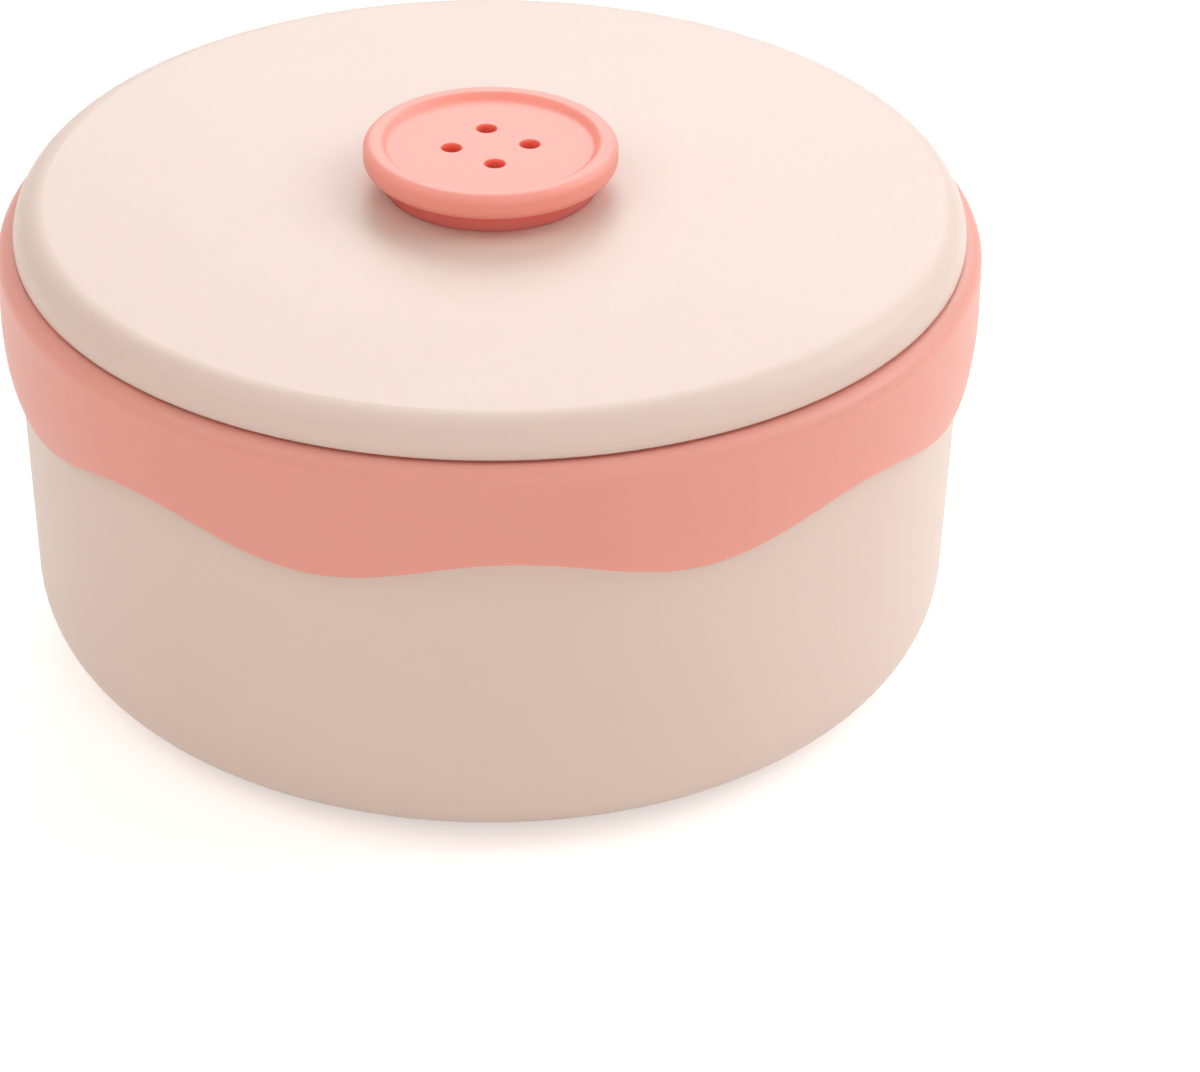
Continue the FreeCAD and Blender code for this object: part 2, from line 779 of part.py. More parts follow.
def button_knob():
    """Button with a raised rim and four holes, on a hollow neck with a boss for the screw."""
    rim_inner = knob_radius - knob_rim_width
    under_plate = knob_dish_bottom - knob_plate
    pocket = knob_neck_radius - knob_neck_wall
    boss_bore = screw_radius
    screw_end = lid_top + screw_bite + screw_end_room
    button = turned((
        (0, screw_end),
        (boss_bore, screw_end),
        (boss_bore, lid_top),
        (knob_boss_radius, lid_top),
        (knob_boss_radius, under_plate),
        (pocket, under_plate),
        (pocket, lid_top),
        (knob_neck_radius, lid_top),
        (knob_neck_radius - knob_neck_taper, knob_underside, knob_gap / 4),
        (knob_radius, knob_underside, knob_edge_round),
        (knob_radius, knob_top, knob_rim_round),
        (rim_inner, knob_top, knob_rim_round / 2),
        (rim_inner - knob_dish, knob_dish_bottom, knob_dish_round),
        (0, knob_dish_bottom),
    ))
    for index in range(knob_hole_count):
        at = polar(knob_hole_circle, knob_hole_turn_deg + index * 360 / knob_hole_count, under_plate)
        button = button.cut(Part.makeCylinder(knob_hole_radius, knob_plate, at))
    return button


def knob_washer():
    top = lid_top - lid_thickness
    ring = rod(washer_radius, top - washer_thickness, top)
    return ring.cut(rod(screw_radius + screw_hole_gap, top - washer_thickness, top))


def knob_screw():
    """Pan-head screw from below, with a cross slot."""
    head_top = lid_top - lid_thickness - washer_thickness
    head_bottom = head_top - screw_head_height
    screw = turned((
        (0, head_bottom),
        (screw_head_radius, head_bottom, screw_head_round),
        (screw_head_radius, head_top),
        (screw_radius, head_top),
        (screw_radius, lid_top + screw_bite),
        (0, lid_top + screw_bite),
    ))
    slot = Part.makeBox(
        screw_slot_length, screw_slot_width, screw_slot_depth,
        Vector(-screw_slot_length / 2, -screw_slot_width / 2, head_bottom),
    )
    return screw.cut(slot).cut(placed(slot, 90, ORIGIN))


def save(name, shape):
    shape.exportStep(f"parts/{name}.step")


def save_spools():
    """Ten spools with their thread, each standing on the base's floor at its own place."""
    plain_spool = spool()
    core = thread_core()
    winding = thread_winding()
    places = {lone_spool: lone_place_deg}
    for index, colour in enumerate(row_spools):
        places[colour] = row_start_deg - index * spool_pitch_deg
    for index, (colour, angle_deg) in enumerate(places.items()):
        at = polar(spool_circle, angle_deg, floor_top)
        turn_deg = index * spool_twist_deg
        save(f"spool_{colour}", placed(plain_spool, turn_deg, at))
        save(f"thread_{colour}", placed(core, turn_deg, at))
        save(f"winding_{colour}", placed(winding, turn_deg, at))


def main():
    os.makedirs("parts", exist_ok=True)
    save("base_bowl", base_bowl())
    save("pincushion_sponge", pincushion_sponge())
    save_spools()
    save("tray", tray())
    save("magnet_disc", magnet_disc())
    save("steel_needles", steel_needle_group())
    save("gilt_needles", gilt_needle_group())
    save("tape_measure", tape_measure())
    save("tape_band", tape_band())
    save("thimble", thimble())
    save("threader_plate", threader_plate())
    save("threader_wire", threader_wire())
    save("lid", lid())
    save("button_knob", button_knob())
    save("knob_washer", knob_washer())
    save("knob_screw", knob_screw())


if __name__ == "__main__":
    main()
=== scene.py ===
import math

import bpy
import numpy as np
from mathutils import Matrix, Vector, noise


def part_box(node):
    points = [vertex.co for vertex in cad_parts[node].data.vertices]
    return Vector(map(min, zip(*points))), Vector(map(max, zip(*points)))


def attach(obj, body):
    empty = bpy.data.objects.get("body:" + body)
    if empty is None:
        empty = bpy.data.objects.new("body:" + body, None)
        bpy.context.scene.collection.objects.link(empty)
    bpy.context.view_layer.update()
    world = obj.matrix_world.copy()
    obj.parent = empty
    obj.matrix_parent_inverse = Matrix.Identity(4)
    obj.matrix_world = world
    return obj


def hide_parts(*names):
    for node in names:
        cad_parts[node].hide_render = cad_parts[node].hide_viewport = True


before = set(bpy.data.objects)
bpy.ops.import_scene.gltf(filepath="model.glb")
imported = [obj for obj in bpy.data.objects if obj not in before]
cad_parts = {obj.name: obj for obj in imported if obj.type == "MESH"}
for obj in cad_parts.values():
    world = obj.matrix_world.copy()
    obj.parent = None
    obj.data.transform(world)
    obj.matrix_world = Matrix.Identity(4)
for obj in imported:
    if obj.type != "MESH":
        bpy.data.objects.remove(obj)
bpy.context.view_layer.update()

MM = 0.001
INCH = 25.4 * MM

# The photograph's view: where the middle of the box is seen in its frame, in pixels, and from how far
IMAGE_WIDTH = 1200
IMAGE_HEIGHT = 1072
FOCAL_PIXELS = 4831.0
BOX_PIXEL_X = 490.8
BOX_PIXEL_Y = 320.2
BOX_MIDDLE = Vector((0, 0, 50 * MM))
VIEW_DISTANCE = 722.2 * MM
VIEW_ELEVATION_DEG = 28.54
SENSOR_WIDTH = 36.0

# Studio. Each softbox has its azimuth (anticlockwise from the box's right) and elevation in degrees, its distance,
# width and height in metres, its watts and its colour.
FLOOR_HALF_SIZE = 12.0
FLOOR_COLOUR = "#F7F3EF"
FLOOR_LIFT = 0.42
DAYLIGHT_COLOUR = "#FFFCFA"
DAYLIGHT_LEVEL = 0.57
WHITE = "#FFFFFF"
SOFTBOXES = (
    ("rear_softbox", 80, 35, 1.3, 1.1, 0.7, 7.2, "#F4FAFF"),
    ("right_softbox", 10, 36, 1.2, 0.8, 0.8, 5.8, "#F4FBFF"),
    ("front_softbox", -75, 16, 1.5, 1.2, 0.8, 3.0, "#FFF8F3"),
    ("left_softbox", 195, 50, 1.3, 0.8, 0.8, 3.0, "#FFF6EE"),
)

# Sockets of a Mix node that mixes colours: several of its sockets share a name, so they go by number
MIX_SHARE = 0
MIX_FIRST = 6
MIX_SECOND = 7
MIX_RESULT = 2

# Moulded plastic: how near walls must be for shade to be painted into its colour, and the shares of open air at which
# this painted shade is deepest and none
PLASTIC_IOR = 1.49
MELT_CLOUD = 30 * MM
MOULD_GRIT = 0.5 * MM
MOULD_GRIT_DEPTH = 0.03 * MM
SATIN_MIN = 0.37
SATIN_MAX = 0.47
PAINTED_SHADE_REACH = 3 * MM
PAINTED_SHADE_FULL = 0.4
PAINTED_SHADE_NONE = 0.9

# Foam: the pores' reach is a share of their spacing
FOAM_MESH = 0.5 * MM
PORE_SPACING = 1.25 * MM
PORE_REACH = 0.46
PORE_DEPTH = 0.55 * MM
FOAM_SWELL = 14 * MM
FOAM_SWELL_DEPTH = 0.25 * MM
FOAM_FLECK = 0.7 * MM
FOAM_FLECK_DEPTH = 0.15 * MM

# Thread, drawn twice as thick as real so that its turns show. The wander rates say how fast it strays, per turn.
STRAND_DIAMETER = 0.5 * MM
STRAND_STEPS = 36
STRAND_SIDES = 5
STRAND_WANDER = 0.05 * MM
WANDER_SLOW = 0.37
WANDER_QUICK = 1.31
TWIST_LENGTH = 1.1 * MM
PLY_WAVES = 0.5
# The plies' waves are painted into the thread's tone as shade in their grooves, added to the dye's own patches
PLY_SHADE_SHARE = 0.5
PLY_DEPTH = 0.06 * MM
DYE_PATCH = 3 * MM
DYE_AND_SHADE_PALEST = 1.3
DYE_AND_SHADE_DEEPEST = 0.7
THREAD_COLOURS = {
    "orange": "#F8931C",
    "plum": "#33182F",
    "navy": "#1B2038",
    "maroon": "#4A1F1E",
    "rust": "#D0661F",
    "teal": "#1F4542",
    "umber": "#33211C",
    "green": "#2E7034",
    "red": "#C42530",
    "crimson": "#D3304A",
}

# Spools: how much of the thread's colour shows through the tube, and how far below the rim it starts and is full
TUBE_TINT = 0.45
TUBE_TINT_START = 0.3 * MM
TUBE_TINT_DEPTH = 3 * MM
TUBE_CLOUD = 4 * MM
TUBE_GLOW_REACH = 0.6 * MM
TUBE_GLOSS_MIN = 0.25
TUBE_GLOSS_MAX = 0.4

# Magnet sheet
FERRITE_SPECK = 0.6 * MM
FERRITE_SPECK_DEPTH = 0.05 * MM
FERRITE_PATCH = 9 * MM
FERRITE_GLOSS_MIN = 0.5
FERRITE_GLOSS_MAX = 0.7

# Metal pieces
DRAW_LINE_DEPTH = 0.01 * MM

# Tape measure: a 60 inch tape, about 12 turns in its roll. Each turn is two straights and two bends, and each of these
# takes a quarter of the step inwards.
TAPE_LENGTH = 60 * INCH
TAPE_PITCH = 0.27 * MM
TAPE_THICKNESS = 0.2 * MM
TAPE_STRAIGHT_STEPS = 14
TAPE_BEND_STEPS = 16
HALF_TURN = 0.5
QUARTER_TURN = 0.25
TAPE_WEAVE = 0.8 * MM
TAPE_WEAVE_DEPTH = 0.05 * MM

# The tape's scale: for each kind of mark, how many to the inch, its reach as a share of the tape's width, and its
# line's width in inches
TAPE_MARKS = ((8, 0.2, 0.035), (4, 0.27, 0.04), (2, 0.36, 0.045), (1, 0.42, 0.05))

# The tape's numbers: a figure's height is a share of the letter size, and they stand clear of the marks
TAPE_NUMBER_HEIGHT = 5.0 * MM
TAPE_FIGURE_SHARE = 0.7
TAPE_FIGURE_STEPS = 3
TAPE_NUMBER_LIFT = 0.03 * MM
TAPE_NUMBER_SHIFT = 2.3 * MM
TAPE_LAST_NUMBER = 59
TAPE_NUMBERS = 5
TAPE_NUMBER_PLACE = 17.5 * MM
INK_BREAK = 0.6 * MM

# Paper sleeve of the tape: the room under it and the step of its lap are in paper thicknesses
PAPER_THICKNESS = 0.12 * MM
PAPER_CLOUD = 3.5 * MM
PAPER_FIBRE = 0.5 * MM
PAPER_FIBRE_DEPTH = 0.06 * MM
BAND_CORNER = 0.6 * MM
BAND_CROWN = 0.25 * MM
BAND_LAP = 6 * MM
BAND_ROOM_BELOW = 1.7
BAND_LAP_STEP = 1.1
BAND_WAVER = 0.15 * MM
BAND_CURL = 5 * MM
BAND_BEND_STEPS = 4
BAND_CROWN_STEPS = 8
BAND_LENGTH_STEPS = 12

# Thimble
THIMBLE_COLUMNS = 288
THIMBLE_ROWS = 40
THIMBLE_SLIT_DEG = -80.0
THIMBLE_SLIT = 0.6 * MM
THIMBLE_WALL = 0.7 * MM
THIMBLE_EDGE = THIMBLE_WALL / 3
THIMBLE_TAPER = 0.5 * MM
THIMBLE_BEAD = 0.45 * MM
THIMBLE_BEAD_POINTS = 9
DIMPLE_ROWS = 5
DIMPLES_ROUND = 40
DIMPLE_RADIUS = 0.52 * MM
DIMPLE_DEPTH = 0.28 * MM

SHARP_EDGE_DEG = 40


def linear(hex_colour):
    """Linear RGBA of an sRGB hex colour."""
    channels = [int(hex_colour[start:start + 2], 16) / 255 for start in (1, 3, 5)]
    return [c / 12.92 if c <= 0.04045 else ((c + 0.055) / 1.055) ** 2.4 for c in channels] + [1.0]


def set_inputs(tree, node, inputs):
    """Gives each named input of a node a value, or a link from an output."""
    for name, value in inputs.items():
        if isinstance(value, bpy.types.NodeSocket):
            tree.links.new(value, node.inputs[name])
        else:
            node.inputs[name].default_value = value


def add_node(tree, kind, settings, inputs):
    """Adds a node with its settings, values and links."""
    made = tree.nodes.new(kind)
    for name, value in settings.items():
        setattr(made, name, value)
    set_inputs(tree, made, inputs)
    return made


def new_material(name):
    """New material: its node tree, its shader, and places on the object in metres."""
    material = bpy.data.materials.new(name)
    material.use_nodes = True
    tree = material.node_tree
    place = add_node(tree, "ShaderNodeTexCoord", {}, {}).outputs["Object"]
    return material, tree, tree.nodes["Principled BSDF"], place


def moulded_polypropylene(name, colour, cloud_colour, painted_shade_colour, glow, glow_reach, own_walls_only=True):
    """Injection-moulded polypropylene from a finely eroded mould: an even satin skin with a wide, soft highlight,
    a faint cloudiness where the melt flowed, and painted shade: a deeper colour painted into crevices, the more so the
    closer walls hem them in. The mould's grit is drawn coarser than real so that it shows."""
    material, tree, shader, place = new_material(name)
    cloud = add_node(tree, "ShaderNodeTexNoise", {}, {"Vector": place, "Scale": 1 / MELT_CLOUD, "Detail": 3.0})
    tint = add_node(tree, "ShaderNodeMix", {"data_type": "RGBA"}, {
        MIX_SHARE: cloud.outputs["Fac"], MIX_FIRST: linear(colour), MIX_SECOND: linear(cloud_colour)})
    grit = add_node(tree, "ShaderNodeTexNoise", {}, {"Vector": place, "Scale": 1 / MOULD_GRIT, "Detail": 2.0})
    gloss = add_node(tree, "ShaderNodeMapRange", {}, {
        "Value": grit.outputs["Fac"], "To Min": SATIN_MIN, "To Max": SATIN_MAX})
    bump = add_node(tree, "ShaderNodeBump", {}, {
        "Strength": 0.25, "Distance": MOULD_GRIT_DEPTH, "Height": grit.outputs["Fac"]})
    # Painted shade: where near walls shut out open air, the colour is painted deeper, towards the painted shade colour
    open_air = add_node(tree, "ShaderNodeAmbientOcclusion", {"only_local": own_walls_only}, {
        "Distance": PAINTED_SHADE_REACH})
    painted_shade_share = add_node(tree, "ShaderNodeMapRange", {}, {
        "Value": open_air.outputs["AO"], "From Min": PAINTED_SHADE_FULL, "From Max": PAINTED_SHADE_NONE,
        "To Min": 1.0, "To Max": 0.0})
    painted_shade_tint = add_node(tree, "ShaderNodeMix", {"data_type": "RGBA"}, {
        MIX_SHARE: painted_shade_share.outputs["Result"], MIX_FIRST: tint.outputs[MIX_RESULT],
        MIX_SECOND: linear(painted_shade_colour)})
    shader.subsurface_method = "BURLEY"
    set_inputs(tree, shader, {
        "Base Color": painted_shade_tint.outputs[MIX_RESULT],
        "Roughness": gloss.outputs["Result"],
        "Normal": bump.outputs["Normal"],
        "IOR": PLASTIC_IOR,
        "Subsurface Weight": 1.0,
        "Subsurface Radius": glow,
        "Subsurface Scale": glow_reach,
    })
    return material


def sawn_foam():
    """Open-cell polyurethane foam, sawn across: matt coral struts, paler in flecks, with painted shade darkening the
    pores.
    """
    material, tree, shader, place = new_material("sawn_polyurethane_foam")
    pore = add_node(tree, "ShaderNodeAttribute", {"attribute_name": "pore"}, {})
    fleck = add_node(tree, "ShaderNodeTexNoise", {}, {"Vector": place, "Scale": 1 / FOAM_FLECK, "Detail": 4.0})
    strut_share = add_node(tree, "ShaderNodeMapRange", {}, {
        "Value": fleck.outputs["Fac"], "From Min": 0.35, "From Max": 0.65})
    strut = add_node(tree, "ShaderNodeMix", {"data_type": "RGBA"}, {
        MIX_SHARE: strut_share.outputs["Result"], MIX_FIRST: linear("#F0504A"), MIX_SECOND: linear("#FFA095")})
    # Painted shade: the pores, already sunk into the mesh, are painted dark as well
    tint = add_node(tree, "ShaderNodeMix", {"data_type": "RGBA"}, {
        MIX_SHARE: pore.outputs["Fac"], MIX_FIRST: strut.outputs[MIX_RESULT], MIX_SECOND: linear("#7E1D1A")})
    bump = add_node(tree, "ShaderNodeBump", {}, {
        "Strength": 0.6, "Distance": FOAM_FLECK_DEPTH, "Height": fleck.outputs["Fac"]})
    set_inputs(tree, shader, {
        "Base Color": tint.outputs[MIX_RESULT],
        "Normal": bump.outputs["Normal"],
        "Roughness": 0.95,
    })
    return material


def spun_polyester(name, colour):
    """Spun polyester thread: matt plies twisted together, with a soft bloom of loose fibres, an uneven dye, and
    painted shade darker in the grooves between the plies. The twist is drawn longer than real so that it shows."""
    material, tree, shader, place = new_material(f"spun_polyester_{name}")
    along = add_node(tree, "ShaderNodeUVMap", {"uv_map": "strand"}, {})
    plies = add_node(tree, "ShaderNodeTexWave", {"bands_direction": "DIAGONAL"}, {
        "Vector": along.outputs["UV"], "Scale": PLY_WAVES, "Distortion": 1.0})
    dye = add_node(tree, "ShaderNodeTexNoise", {}, {"Vector": place, "Scale": 1 / DYE_PATCH, "Detail": 4.0})
    # Tone from painted shade along the ply grooves plus the dye's own patches
    share = add_node(tree, "ShaderNodeMath", {"operation": "MULTIPLY_ADD"}, {
        0: plies.outputs["Fac"], 1: PLY_SHADE_SHARE, 2: dye.outputs["Fac"]})
    value = add_node(tree, "ShaderNodeMapRange", {}, {
        "Value": share.outputs["Value"], "From Max": 1 + PLY_SHADE_SHARE, "To Min": DYE_AND_SHADE_DEEPEST, "To Max": DYE_AND_SHADE_PALEST})
    tint = add_node(tree, "ShaderNodeHueSaturation", {}, {
        "Color": linear(colour), "Value": value.outputs["Result"]})
    bump = add_node(tree, "ShaderNodeBump", {}, {
        "Strength": 0.5, "Distance": PLY_DEPTH, "Height": plies.outputs["Fac"]})
    set_inputs(tree, shader, {
        "Base Color": tint.outputs["Color"],
        "Normal": bump.outputs["Normal"],
        "Roughness": 0.62,
        "Sheen Weight": 0.25,
        "Sheen Roughness": 0.5,
    })
    return material


def natural_polypropylene(name, thread_hex, rim_height):
    """Undyed polypropylene, moulded thin: milky white and glossy, with the thread's colour showing through the tube
    below the thicker rim."""
    material, tree, shader, place = new_material(f"natural_polypropylene_{name}")
    cloud = add_node(tree, "ShaderNodeTexNoise", {}, {"Vector": place, "Scale": 1 / TUBE_CLOUD, "Detail": 3.0})
    milk = add_node(tree, "ShaderNodeMix", {"data_type": "RGBA"}, {
        MIX_SHARE: cloud.outputs["Fac"], MIX_FIRST: linear("#FBF7F4"), MIX_SECOND: linear("#F1EAE5")})
    axes = add_node(tree, "ShaderNodeSeparateXYZ", {}, {"Vector": place})
    shown = add_node(tree, "ShaderNodeMapRange", {}, {
        "Value": axes.outputs["Z"],
        "From Min": rim_height - TUBE_TINT_DEPTH, "From Max": rim_height - TUBE_TINT_START,
        "To Min": TUBE_TINT, "To Max": 0.0})
    tint = add_node(tree, "ShaderNodeMix", {"data_type": "RGBA"}, {
        MIX_SHARE: shown.outputs["Result"], MIX_FIRST: milk.outputs[MIX_RESULT], MIX_SECOND: linear(thread_hex)})
    gloss = add_node(tree, "ShaderNodeMapRange", {}, {
        "Value": cloud.outputs["Fac"], "To Min": TUBE_GLOSS_MIN, "To Max": TUBE_GLOSS_MAX})
    set_inputs(tree, shader, {
        "Base Color": tint.outputs[MIX_RESULT],
        "Roughness": gloss.outputs["Result"],
        "IOR": PLASTIC_IOR,
        "Subsurface Weight": 1.0,
        "Subsurface Radius": (1.0, 1.0, 1.0),
        "Subsurface Scale": TUBE_GLOW_REACH,
    })
    return material


def bonded_ferrite():
    """Rubber-bonded ferrite sheet, rolled and punched: a brownish black, dull skin with fine mineral specks."""
    material, tree, shader, place = new_material("rubber_bonded_ferrite")
    speck = add_node(tree, "ShaderNodeTexNoise", {}, {"Vector": place, "Scale": 1 / FERRITE_SPECK, "Detail": 3.0})
    rolled = add_node(tree, "ShaderNodeTexNoise", {}, {"Vector": place, "Scale": 1 / FERRITE_PATCH, "Detail": 2.0})
    speck_share = add_node(tree, "ShaderNodeMapRange", {}, {
        "Value": speck.outputs["Fac"], "From Min": 0.45, "From Max": 0.75})
    tint = add_node(tree, "ShaderNodeMix", {"data_type": "RGBA"}, {
        MIX_SHARE: speck_share.outputs["Result"], MIX_FIRST: linear("#42362F"), MIX_SECOND: linear("#4E423B")})
    gloss = add_node(tree, "ShaderNodeMapRange", {}, {
        "Value": rolled.outputs["Fac"], "To Min": FERRITE_GLOSS_MIN, "To Max": FERRITE_GLOSS_MAX})
    bump = add_node(tree, "ShaderNodeBump", {}, {
        "Strength": 0.3, "Distance": FERRITE_SPECK_DEPTH, "Height": speck.outputs["Fac"]})
    set_inputs(tree, shader, {
        "Base Color": tint.outputs[MIX_RESULT],
        "Roughness": gloss.outputs["Result"],
        "Normal": bump.outputs["Normal"],
    })
    return material


def plated_metal(name, colour, worn_colour, smooth, rough, draw_length, draw_width):
    """Plated metal, drawn or rolled: a bright skin with fine lines along the draw, a little duller in patches."""
    material, tree, shader, place = new_material(name)
    stretch = add_node(tree, "ShaderNodeMapping", {}, {
        "Vector": place, "Scale": (1 / draw_length, 1 / draw_width, 1 / draw_width)})
    lines = add_node(tree, "ShaderNodeTexNoise", {}, {
        "Vector": stretch.outputs["Vector"], "Scale": 1.0, "Detail": 2.0})
    tint = add_node(tree, "ShaderNodeMix", {"data_type": "RGBA"}, {
        MIX_SHARE: lines.outputs["Fac"], MIX_FIRST: linear(colour), MIX_SECOND: linear(worn_colour)})
    gloss = add_node(tree, "ShaderNodeMapRange", {}, {
        "Value": lines.outputs["Fac"], "To Min": smooth, "To Max": rough})
    bump = add_node(tree, "ShaderNodeBump", {}, {
        "Strength": 0.2, "Distance": DRAW_LINE_DEPTH, "Height": lines.outputs["Fac"]})
    set_inputs(tree, shader, {
        "Base Color": tint.outputs[MIX_RESULT],
        "Roughness": gloss.outputs["Result"],
        "Normal": bump.outputs["Normal"],
        "Metallic": 1.0,
    })
    return material


def printed_vinyl():
    """Vinyl-coated glass cloth, printed: a satin yellow-green tape with a faint weave, and black scale marks from one
    edge, the longest at each inch and the shortest at each eighth."""
    material, tree, shader, place = new_material("printed_vinyl_tape")
    ruled = add_node(tree, "ShaderNodeUVMap", {"uv_map": "scale"}, {})
    split = add_node(tree, "ShaderNodeSeparateXYZ", {}, {"Vector": ruled.outputs["UV"]})
    inches = split.outputs["X"]
    from_edge = split.outputs["Y"]
    ink = None
    for per_inch, reach, width in TAPE_MARKS:
        steps = add_node(tree, "ShaderNodeMath", {"operation": "MULTIPLY"}, {0: inches, 1: float(per_inch)})
        off_mark = add_node(tree, "ShaderNodeMath", {"operation": "PINGPONG"}, {0: steps.outputs["Value"], 1: 0.5})
        near = add_node(tree, "ShaderNodeMath", {"operation": "LESS_THAN"}, {
            0: off_mark.outputs["Value"], 1: width * per_inch / 2})
        within = add_node(tree, "ShaderNodeMath", {"operation": "LESS_THAN"}, {0: from_edge, 1: reach})
        mark = add_node(tree, "ShaderNodeMath", {"operation": "MULTIPLY"}, {
            0: near.outputs["Value"], 1: within.outputs["Value"]})
        ink = mark if ink is None else add_node(tree, "ShaderNodeMath", {"operation": "MAXIMUM"}, {
            0: ink.outputs["Value"], 1: mark.outputs["Value"]})
    weave = add_node(tree, "ShaderNodeTexNoise", {}, {"Vector": place, "Scale": 1 / TAPE_WEAVE, "Detail": 2.0})
    ground = add_node(tree, "ShaderNodeMix", {"data_type": "RGBA"}, {
        MIX_SHARE: weave.outputs["Fac"], MIX_FIRST: linear("#D6DE74"), MIX_SECOND: linear("#E4E993")})
    tint = add_node(tree, "ShaderNodeMix", {"data_type": "RGBA"}, {
        MIX_SHARE: ink.outputs["Value"], MIX_FIRST: ground.outputs[MIX_RESULT], MIX_SECOND: linear("#1E1C18")})
    bump = add_node(tree, "ShaderNodeBump", {}, {
        "Strength": 0.3, "Distance": TAPE_WEAVE_DEPTH, "Height": weave.outputs["Fac"]})
    set_inputs(tree, shader, {
        "Base Color": tint.outputs[MIX_RESULT],
        "Normal": bump.outputs["Normal"],
        "Roughness": 0.42,
    })
    return material


def printing_ink():
    """Screen ink on vinyl: nearly black, a little broken where the weave shows through."""
    material, tree, shader, place = new_material("screen_ink")
    broken = add_node(tree, "ShaderNodeTexNoise", {}, {"Vector": place, "Scale": 1 / INK_BREAK, "Detail": 3.0})
    tint = add_node(tree, "ShaderNodeMix", {"data_type": "RGBA"}, {
        MIX_SHARE: broken.outputs["Fac"], MIX_FIRST: linear("#161410"), MIX_SECOND: linear("#34322A")})
    set_inputs(tree, shader, {"Base Color": tint.outputs[MIX_RESULT], "Roughness": 0.5})
    return material


def bleached_paper():
    """Bleached wood-pulp paper: off-white, quite matt, with a cloudy formation and short fibres."""
    material, tree, shader, place = new_material("bleached_paper")
    formation = add_node(tree, "ShaderNodeTexNoise", {}, {"Vector": place, "Scale": 1 / PAPER_CLOUD, "Detail": 5.0})
    fibres = add_node(tree, "ShaderNodeTexNoise", {}, {
        "Vector": place, "Scale": 1 / PAPER_FIBRE, "Detail": 4.0, "Distortion": 2.0})
    tint = add_node(tree, "ShaderNodeMix", {"data_type": "RGBA"}, {
        MIX_SHARE: formation.outputs["Fac"], MIX_FIRST: linear("#F3EDEB"), MIX_SECOND: linear("#E4DBDA")})
    bump = add_node(tree, "ShaderNodeBump", {}, {
        "Strength": 0.35, "Distance": PAPER_FIBRE_DEPTH, "Height": fibres.outputs["Fac"]})
    set_inputs(tree, shader, {
        "Base Color": tint.outputs[MIX_RESULT],
        "Normal": bump.outputs["Normal"],
        "Roughness": 0.88,
    })
    return material


def new_piece(name, points, faces, material, body):
    """Mesh object in the box's own frame, smooth, that moves with a body and takes its finish from a slot."""
    mesh = bpy.data.meshes.new(name)
    mesh.from_pydata([tuple(point) for point in points], [], [tuple(face) for face in faces])
    mesh.validate()
    mesh.polygons.foreach_set("use_smooth", [True] * len(mesh.polygons))
    mesh.materials.append(material)
    piece = bpy.data.objects.new(name, mesh)
    bpy.context.scene.collection.objects.link(piece)
    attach(piece, body)
    return piece


def keep_edges_sharp(piece):
    """Keeps the shading apart at sharp edges."""
    split = piece.modifiers.new("sharp_edges", "EDGE_SPLIT")
    split.split_angle = math.radians(SHARP_EDGE_DEG)


def quads(rows, columns, first=0, wrap_rows=False, wrap_columns=False):
    """Quads of a grid of points that is stored row by row."""
    made = []
    for row in range(rows if wrap_rows else rows - 1):
        here = first + row * columns
        above = first + (row + 1) % rows * columns
        for column in range(columns if wrap_columns else columns - 1):
            beside = (column + 1) % columns
            made.append((here + column, here + beside, above + beside, above + column))
    return made


def give_uv(mesh, name, point_uv):
    """UV map from one (u, v) for each point."""
    layer = mesh.uv_layers.new(name=name)
    index = np.zeros(len(mesh.loops), int)
    mesh.loops.foreach_get("vertex_index", index)
    layer.data.foreach_set("uv", np.asarray(point_uv, np.float32)[index].ravel())


def node_points(name):
    """Points of a node at rest, as an array."""
    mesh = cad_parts[name].data
    points = np.zeros(len(mesh.vertices) * 3, np.float32)
    mesh.vertices.foreach_get("co", points)
    return points.reshape(-1, 3).astype(float)


def pincushion(material):
    """Foam disc in the bowl's ring wall: its own solid on an even fine mesh, opened by pores."""
    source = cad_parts["pincushion_sponge"]
    block = bpy.data.objects.new("foam_block", source.data.copy())
    bpy.context.scene.collection.objects.link(block)
    remesh = block.modifiers.new("even_mesh", "REMESH")
    remesh.mode = "VOXEL"
    remesh.voxel_size = FOAM_MESH
    ready = block.evaluated_get(bpy.context.evaluated_depsgraph_get())
    mesh = bpy.data.meshes.new_from_object(ready)
    bpy.data.objects.remove(block)
    depths = []
    moved = []
    for vertex in mesh.vertices:
        nearest = noise.voronoi(vertex.co / PORE_SPACING)[0][0]
        pore = max(0.0, 1 - nearest / PORE_REACH)
        swell = (1 + noise.noise(vertex.co / FOAM_SWELL)) / 2
        depths.append(pore)
        moved.append(vertex.co - vertex.normal * (pore * PORE_DEPTH + swell * FOAM_SWELL_DEPTH))
    faces = [tuple(face.vertices) for face in mesh.polygons]
    sponge = new_piece("sponge_foam", moved, faces, material, "base")
    sponge.data.attributes.new("pore", "FLOAT", "POINT").data.foreach_set("value", depths)
    bpy.data.meshes.remove(mesh)
    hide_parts("pincushion_sponge")


